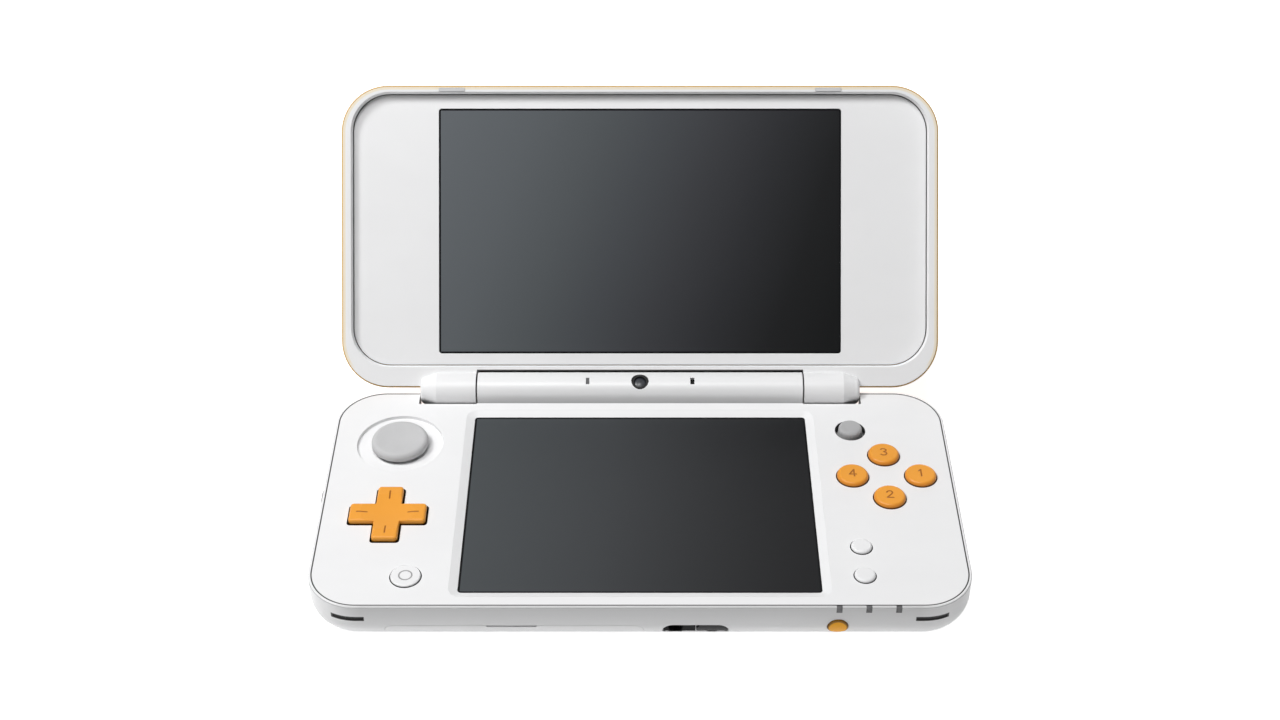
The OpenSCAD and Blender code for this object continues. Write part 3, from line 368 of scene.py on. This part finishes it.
def seam_shaded(name, colour, rough, painted_shade_of, painted_light_of=None, edge_mm=0.12):
    """Moulded plastic with painted shade, near black, where the first mask says that a face lies down
    inside a seam. The second gives places and the painted shade, or painted reflection, in each."""
    s = Shader(name)
    plain = s.flow(colour, 0.02)
    for where, painted_colour in painted_light_of(s) if painted_light_of else ():
        plain = s.blend(where, plain, painted_colour)
    # near-black painted shade inside the seams
    s.set(
        colour=s.blend(painted_shade_of(s), plain, shade(colour, 0.05)), rough=s.patchy(rough),
        normal=s.bump(s.grain(0.25), 0.006, edge_mm), specular=0.3)
    return s.mat


def engraved_key(name, colour, rough, strokes=(), mark_w=0.34, ring=None, foot=0.2, painted_colour=None, rim=None):
    """Button plastic with marks cut into its top, mark_w wide, their grooves in a colour of painted
    shade.
    The part that goes down into its hole has painted shade, fading out at foot above the panel. A ring
    is a round mark, and a rim is the edge of the button, painted in shaded orange as shade; both are
    given by centre and radius."""
    s = Shader(name)
    plain = s.flow(colour, 0.03)
    normal = s.bump(s.grain(0.5), 0.003, 0.15)
    # painted shade round the rim of the button
    if rim:
        centre, radius = rim
        plain = s.blend(s.rise(s.flat_distance(centre), radius - 0.7, radius, 0.7), plain, SHADED_ORANGE)
    far = None
    for a, b in strokes:
        one = s.stroke(a, b)
        far = s.smaller(far, one) if far else one
    if ring:
        centre, radius = ring
        far = s.math("ABSOLUTE", s.minus(s.flat_distance(centre), radius * MM))
    if far:
        cut = s.fall(far, mark_w / 2 - 0.06, mark_w / 2 + 0.06)
        # painted shade in the grooves of the marks
        plain = s.blend(cut, plain, painted_colour or shade(colour, 0.45))
        normal = s.bump(s.minus(1.0, cut), 0.14, under=normal)
    # painted shade on the part of the button that goes down into its hole
    sunk_shade = s.fall(s.axis("Z"), BASE_TOP - 0.05, BASE_TOP + foot)
    s.set(
        colour=s.blend(sunk_shade, plain, shade(colour, 0.06)), rough=s.patchy(rough), normal=normal,
        specular=0.3)
    return s.mat


def power_key(name, colour, rough):
    """Recessed button: its rim lies in the shade of the case, most of all at the top."""
    s = Shader(name)
    far = s.length(
        s.minus(s.axis("X"), POWER.x * MM), s.minus(s.axis("Z"), (POWER.z - POWER_DROP) * MM))
    plain = s.ramp(s.noise(12, 3.0), [(0.25, shade(colour, 0.95)), (0.75, shade(colour, 1.05))])
    s.set(
        colour=s.blend(s.rise(far, POWER_R - 0.4, POWER_R), plain, shade(colour, 0.22)),
        rough=s.patchy(rough, 5), normal=s.bump(s.grain(0.5), 0.003, 0.2), specular=0.2)
    return s.mat


def ribbed(name, colour, rough):
    """The outside of the lid: fine ribs from side to side with painted shade in their grooves, inside a
    smooth border, and painted shade on the edge face of the cover.
    """
    s = Shader(name)
    down = s.lid_depth()
    wave = s.math("SINE", s.product(down, 2 * math.pi / (RIB_PITCH * MM)))
    field = s.product(s.between(s.axis("X"), *RIB_X, 0.6), s.between(down, *RIB_Y, 0.6))
    ribs = s.product(s.spread(wave, -0.6, 0.9, 0.0, 1.0), field)
    # painted shade in the grooves between the ribs
    grooves = s.product(s.spread(wave, -0.9, -0.3, 1.0, 0.0), field)
    plain = s.blend(grooves, s.flow(colour, 0.03), shade(colour, 0.72))
    # painted shade on the edge face of the cover
    edge = s.fall(s.lid_height(), RIM_Z + 0.36, RIM_Z + 0.5)
    s.set(
        colour=s.blend(edge, plain, SHADED_COVER_EDGE), rough=s.patchy(rough),
        normal=s.bump(ribs, RIB_DEPTH, under=s.bump(s.grain(0.25), 0.008, 0.12)), specular=0.35)
    return s.mat


def pressed_metal(name, colour, rough):
    """Sheet or turned metal with fine drawn lines."""
    s = Shader(name)
    lines = s.noise(0.35, 3.0, 0.6, (1.0, 14.0, 1.0))
    s.set(
        colour=s.ramp(s.grain(6), [(0.3, shade(colour, 0.9)), (0.7, shade(colour, 1.05))]),
        rough=s.spread(lines, 0.3, 0.7, rough * 0.75, rough * 1.25),
        normal=s.bump(lines, 0.004, 0.05), metal=1.0)
    return s.mat


def rubber(name, colour, rough, grain_mm=0.3):
    """Elastomer with a dull, slightly dusty pebbled skin."""
    s = Shader(name)
    dust = s.noise(5, 4.0, 0.65)
    s.set(
        colour=s.ramp(dust, [(0.3, shade(colour, 0.97)), (0.75, shade(colour, 1.04))]),
        rough=s.spread(dust, 0.3, 0.7, rough * 0.95, rough * 1.08),
        normal=s.bump(s.cells(grain_mm), 0.02, 0.1), specular=0.35, sheen=0.15, sheen_rough=0.6)
    return s.mat


def screen(name, width, depth_of, painted_reflection, reach, tilt, specular, smooth=False):
    """Dark window over a switched-off display, with places from front to back given by depth_of. Its
    painted reflection fades from left to right over the reach, along a line turned by tilt, and it has a
    black printed border and a very faint orange-peel."""
    s = Shader(name)
    across, down = s.axis("X"), depth_of(s)
    along = s.plus(s.plus(across, s.product(down, tilt)), s.product(s.noise(60, 1.0), 4 * MM))
    # painted reflection, fading from left to right
    reflection_colour = s.ramp(s.rise(along, *reach), painted_reflection, smooth)
    half_w, half_d = width / 2 - SCREEN_BORDER, SCREEN_D / 2 - SCREEN_BORDER
    open_area = s.product(
        s.between(across, -half_w, half_w), s.between(down, SCREEN_Y - half_d, SCREEN_Y + half_d))
    s.set(
        colour=s.blend(open_area, PRINT_BLACK, reflection_colour),
        rough=s.spread(s.noise(14, 3.0), 0.3, 0.7, 0.28, 0.34),
        normal=s.bump(s.noise(2.5, 2.0), 0.0015), specular=specular)
    return s.mat


def lens(name, colour, coat=0.25):
    """Clear window or lens over a dark inside."""
    s = Shader(name)
    rings = s.noise(1.2, 2.0)
    s.set(
        colour=s.ramp(rings, [(0.3, shade(colour, 0.7)), (0.7, shade(colour, 1.4))]),
        rough=s.spread(rings, 0.3, 0.7, 0.3, 0.42), normal=s.bump(rings, 0.001),
        specular=0.3, coat=coat, coat_rough=0.2)
    return s.mat


def board(name):
    """Solder mask with a fine pattern of tracks under it."""
    s = Shader(name)
    tracks = s.cells(1.6)
    s.set(
        colour=s.ramp(tracks, [(0.42, (0.015, 0.11, 0.05)), (0.47, (0.03, 0.17, 0.08))]),
        rough=0.35, normal=s.bump(tracks, 0.03), specular=0.5)
    return s.mat


# ---- where shade and reflections are painted, at seams and edges ----


def case_seam_shade(s):
    """Painted shade on the wall beside the control panel, and on the speaker slits with their
    rounded edges.
    """
    beside = s.product(
        s.fall(s.base_rect(LIP), 0.05, 0.09), s.rise(s.axis("Z"), BASE_TOP - 1.7, BASE_TOP - 1.6))
    edges = s.product(
        s.between(s.from_middle(), *SLIT_X, 0.1), s.fall(s.axis("Y"), SLIT_Y - 1, SLIT_Y))
    deep = s.larger(edges, s.fall(s.base_rect(0), -0.16, -0.1))
    return s.larger(beside, s.product(deep, s.between(s.axis("Z"), *SLIT_Z)))


def case_painted_shade(s):
    """Painted shade on the fine bevel along the upper edge of the case, and on the front wall under it,
    darker towards the top.
    """
    bevel = s.product(
        s.rise(s.base_rect(0), -0.14, -0.1), s.rise(s.axis("Z"), BASE_TOP - 0.4, BASE_TOP - 0.3))
    front = s.product(
        s.fall(s.axis("Y"), FRONT_Y - 1, FRONT_Y), s.between(s.axis("X"), -FRONT_X, FRONT_X, 7))
    wall = s.product(front, s.rise(s.axis("Z"), FRONT_Z, BASE_TOP))
    return [(wall, shade(WHITE, 0.76)), (bevel, shade(WHITE, 0.62))]


def panel_seam_shade(s):
    """Painted shade on the panel's rim and the walls of its holes, but not on its dish nor on the slope
    round its window.
    """
    margin = 2 * SLOPE + 0.2
    window = s.rounded_rect(
        s.axis("X"), s.minus(s.axis("Y"), SCREEN_Y * MM), LOWER_W + margin, SCREEN_D + margin, 3.0)
    allowed = s.plus(
        s.fall(window, -0.05, 0.05, SLOPE_DEPTH * MM),
        s.fall(s.flat_distance(DISH), DISH_R + 0.1, DISH_R + 0.2, DISH_DEPTH * MM))
    down = s.minus(BASE_TOP * MM, s.axis("Z"))
    return s.rise(s.minus(down, allowed), 0.06, 0.2)


def panel_rim_shade(s):
    """Painted shade on the rounded rim of the control panel."""
    return [(s.rise(s.base_rect(LIP + 0.18), -0.12, -0.06), shade(WHITE, 0.4))]


def lid_panel_seam_shade(s):
    """Painted shade on the walls of the lid panel's holes and rim, behind its face."""
    return s.rise(s.lid_height(), RECESS_Z + 0.05, RECESS_Z + 0.15)


def frame_seam_shade(s):
    """Painted shade at the foot of the recess wall, and in the channel round the barrel."""
    recess = s.rounded_rect(
        s.axis("X"), s.minus(s.lid_depth(), RECESS_Y * MM), RECESS_W, RECESS_D, RECESS_R)
    foot = s.product(
        s.fall(recess, 0.02, 0.06), s.rise(s.lid_height(), RECESS_Z - 1.0, RECESS_Z - 0.1))
    far = s.length(*s.from_hinge())
    channel = s.product(
        s.fall(far, CHANNEL_R, CHANNEL_R + 0.2), s.between(s.axis("X"), -KNUCKLE_X, KNUCKLE_X, 0.02))
    return s.larger(foot, channel)


def frame_rim_reflection(s):
    """The outer border of the white rim, painted cream as a reflection of the orange cover round it."""
    rim = s.rounded_rect(
        s.axis("X"), s.minus(s.lid_depth(), LID_Y * MM), BASE_W, LID_D, BASE_R)
    near = s.product(s.rise(rim, -1.2, -0.9), s.between(s.lid_depth(), *RIM_REFLECTION_Y, 2))
    face = s.fall(s.lid_height(), RIM_Z + 0.1, RIM_Z + 0.5)
    return [(s.product(near, face), REFLECTED_CREAM)]


def barrel_end_shade(s):
    """Painted shade on the end faces of the barrel and the last of its skin, beside the knuckles."""
    return s.rise(s.from_middle(), BARREL_L / 2 - 0.16, BARREL_L / 2 - 0.1)


def barrel_foot_shade(s):
    """Painted shade at the foot of the barrel, darker towards the panel that it lies on."""
    front = s.fall(s.axis("Y"), HINGE_Y - 2, HINGE_Y - 1)
    low = s.fall(s.axis("Z"), BASE_TOP, BARREL_LIT_Z)
    return [(s.product(front, low), shade(WHITE, 0.66))]


# ---- the materials ----


def number_key(side):
    """A face button with its number."""
    number, middle = NUMBER_OF[side], middle_of("face_button_" + side)
    spots = [(middle.x + dx, middle.y + NUMBER_BACK + dy) for dx, dy in STROKES[number]]
    return engraved_key(
        "orange_key_" + number, ORANGE, 0.33, zip(spots, spots[1:]), foot=0.35,
        painted_colour=shade(SHADED_ORANGE, 0.62), rim=(middle, FACE_R))


def direction_key():
    """The direction pad with a dash on each arm."""
    dashes = [
        [(CROSS.x + sx * r, CROSS.y + sy * r) for r in DASH]
        for sx, sy in ((1, 0), (-1, 0), (0, 1), (0, -1))]
    return engraved_key(
        "orange_cross", ORANGE, 0.33, dashes, foot=0.3, painted_colour=shade(SHADED_ORANGE, 0.62))


black_plastic = moulded("black_plastic", (0.012, 0.012, 0.012), 0.5, specular=0.2)
dark_insert = moulded("dark_insert", (0.016, 0.016, 0.017), 0.5, specular=0.1)
grey_plastic = moulded("grey_plastic", (0.3, 0.3, 0.31), 0.5)
steel = pressed_metal("steel", (0.62, 0.63, 0.65), 0.35)
membrane = rubber("membrane", (0.62, 0.62, 0.6), 0.6, grain_mm=0.8)
white_gloss = moulded(
    "white_gloss", shade(WHITE, 1.01), 0.3, grain_mm=0.5, grain_depth=0.003, edge_mm=0.1)
white_key = engraved_key("white_key", WHITE, 0.3)

MATERIAL_OF = {
    # outside of the base
    "bottom_case": seam_shaded("case_white", WHITE, 0.42, case_seam_shade, case_painted_shade),
    "control_panel": seam_shaded("panel_white", WHITE, 0.44, panel_seam_shade, panel_rim_shade),
    "hinge_barrel": seam_shaded(
        "barrel_white", WHITE, 0.3, barrel_end_shade, barrel_foot_shade, edge_mm=0.1),
    "touch_panel": screen(
        "lower_glass", LOWER_W, lambda s: s.axis("Y"), LOWER_REFLECTION, reach=(-45, 50), tilt=-0.1,
        specular=0.09, smooth=True),
    "camera_lenses": lens("camera_glass", (0.02, 0.022, 0.028)),
    "infrared_window": lens("infrared", (0.02, 0.004, 0.006)),
    "indicator_lights": lens("light_pipe", (0.10, 0.10, 0.103), 0.1),
    "card_door": moulded("white_shell", WHITE, 0.42),
    "case_screws": steel, "charging_port": steel, "headphone_jack": dark_insert, "stylus": dark_insert,
    # controls
    "circle_pad_cap": rubber("grey_cap", GREY, 0.62),
    "circle_pad_skirt": grey_plastic, "circle_pad_carriage": grey_plastic,
    "d_pad": direction_key(), "d_pad_pivot": steel,
    **{"face_button_" + side: number_key(side) for side in NUMBER_OF},
    "start_button": white_key, "select_button": white_key,
    "home_button": engraved_key("home_key", WHITE, 0.3, ring=(HOME, HOME_RING_R), mark_w=0.3),
    "power_button": power_key("orange_power", POWER_ORANGE, 0.4),
    "nub_cap": rubber("grey_nub", shade(GREY, 0.78), 0.7, grain_mm=0.22), "nub_pivot": steel,
    "shoulder_button_left": white_gloss, "shoulder_button_right": white_gloss,
    "trigger_button_left": white_gloss, "trigger_button_right": white_gloss,
    "volume_slider": grey_plastic,
    # lid
    "lid_cover": ribbed("orange_shell", ORANGE, 0.45),
    "lid_frame": seam_shaded("frame_white", WHITE, 0.34, frame_seam_shade, frame_rim_reflection, edge_mm=0.1),
    "lid_panel": seam_shaded("lid_panel_white", WHITE, 0.46, lid_panel_seam_shade),
    "upper_screen_lens": screen(
        "upper_glass", UPPER_W, Shader.lid_depth, UPPER_REFLECTION, reach=(-60, 62), tilt=0.34,
        specular=0.05),
    "lid_bumpers": rubber("grey_bumper", shade(GREY, 1.12), 0.7),
    "upper_display": black_plastic, "lid_magnet": steel,
    # inside
    "main_board": board("board"), "battery": moulded("cell", (0.06, 0.06, 0.065), 0.4),
    "left_membrane": membrane, "right_membrane": membrane,
    **dict.fromkeys((
        "camera_modules", "circle_pad_housing", "d_pad_seat", "game_card_slot", "lower_display",
        "microphone", "nub_sensor", "speakers", "stylus_sleeve"), black_plastic),
    **dict.fromkeys((
        "display_tray", "hinge_units", "memory_card_slot", "pivot_pins", "power_switch",
        "processor_shield", "shoulder_switches", "volume_control"), steel),
}
for name, node in frame["nodes"].items():
    for slot in node.material_slots:
        slot.material = MATERIAL_OF[name]


# ---- stage, lights and camera ----

# Places and sizes are in metres here, and the camera's tilt in degrees from straight down.
FILL, FILL_STRENGTH = (0.95, 0.97, 1.0), 0.05
PAPER, PAPER_GLOW = (0.9, 0.9, 0.9), 0.9
FLOOR_REACH = 2.5
# name, place, what it points at, width, height, power in watts
LAMPS = (
    ("key", (-0.60, 0.00, 0.95), (0, 0.03, 0.04), 0.25, 0.25, 6.1),
    ("top", (-0.10, -0.20, 1.20), (0, 0.03, 0.04), 0.4, 0.4, 6.0),
    ("front", (-0.42, -0.36, 1.05), (0, 0.03, 0.04), 0.4, 0.4, 2.0),
    ("rear", (0.25, 1.05, 0.16), (0, 0.08, 0.06), 0.5, 0.3, 1.8),
)
LENS_MM, SENSOR_MM = 55.44, 36.0
CAMERA_AT, CAMERA_TILT = (0.0, -0.37129, 0.34219), 52.244


def area_light(name, where, target, width, height, power):
    data = bpy.data.lights.new(name, "AREA")
    data.shape = "RECTANGLE"
    data.size = width
    data.size_y = height
    data.energy = power
    light = bpy.data.objects.new(name, data)
    light.location = where
    light.rotation_euler = (Vector(target) - Vector(where)).to_track_quat("-Z", "Y").to_euler()
    bpy.context.scene.collection.objects.link(light)


def shader_node(tree, kind, colour=None, strength=None):
    n = tree.nodes.new(kind)
    if colour:
        n.inputs["Color"].default_value = (*colour, 1)
    if strength is not None:
        n.inputs["Strength"].default_value = strength
    return n


def seen_white(tree, plain, seen, out_kind):
    """Give the output plain, except that camera, glossy and transmission rays meet seen."""
    path = tree.nodes.new("ShaderNodeLightPath")
    factor = path.outputs["Is Camera Ray"]
    for ray in ("Is Glossy Ray", "Is Transmission Ray"):
        either = tree.nodes.new("ShaderNodeMath")
        either.operation = "MAXIMUM"
        tree.links.new(factor, either.inputs[0])
        tree.links.new(path.outputs[ray], either.inputs[1])
        factor = either.outputs[0]
    mix = tree.nodes.new("ShaderNodeMixShader")
    for socket, value in zip(mix.inputs, (factor, plain.outputs[0], seen.outputs[0])):
        tree.links.new(value, socket)
    tree.links.new(mix.outputs[0], tree.nodes.new(out_kind).inputs[0])


def build_world():
    world = bpy.data.worlds.new("world")
    bpy.context.scene.world = world
    world.use_nodes = True
    tree = world.node_tree
    tree.nodes.clear()
    fill = shader_node(tree, "ShaderNodeBackground", FILL, FILL_STRENGTH)
    white = shader_node(tree, "ShaderNodeBackground", (1, 1, 1), 1.0)
    seen_white(tree, fill, white, "ShaderNodeOutputWorld")


def build_floor():
    """Pale paper that keeps the object's shadow and otherwise looks white."""
    mesh = bpy.data.meshes.new("floor")
    r = FLOOR_REACH
    mesh.from_pydata([(-r, -r, 0), (r, -r, 0), (r, r, 0), (-r, r, 0)], [], [(0, 1, 2, 3)])
    floor = bpy.data.objects.new("floor", mesh)
    bpy.context.scene.collection.objects.link(floor)
    mat = bpy.data.materials.new("floor")
    mat.use_nodes = True
    tree = mat.node_tree
    tree.nodes.clear()
    paper = shader_node(tree, "ShaderNodeBsdfDiffuse", PAPER)
    glow = shader_node(tree, "ShaderNodeEmission", strength=PAPER_GLOW)
    lit = tree.nodes.new("ShaderNodeAddShader")
    tree.links.new(paper.outputs[0], lit.inputs[0])
    tree.links.new(glow.outputs[0], lit.inputs[1])
    seen_white(tree, paper, lit, "ShaderNodeOutputMaterial")
    mesh.materials.append(mat)


def build_camera():
    data = bpy.data.cameras.new("camera")
    data.sensor_width = SENSOR_MM
    data.lens = LENS_MM
    data.clip_start = 0.01
    camera = bpy.data.objects.new("camera", data)
    camera.location = CAMERA_AT
    camera.rotation_euler = (math.radians(CAMERA_TILT), 0.0, 0.0)
    bpy.context.scene.collection.objects.link(camera)
    bpy.context.scene.camera = camera


build_world()
build_floor()
for lamp in LAMPS:
    area_light(*lamp)
build_camera()
bpy.context.scene.view_settings.view_transform = "Standard"
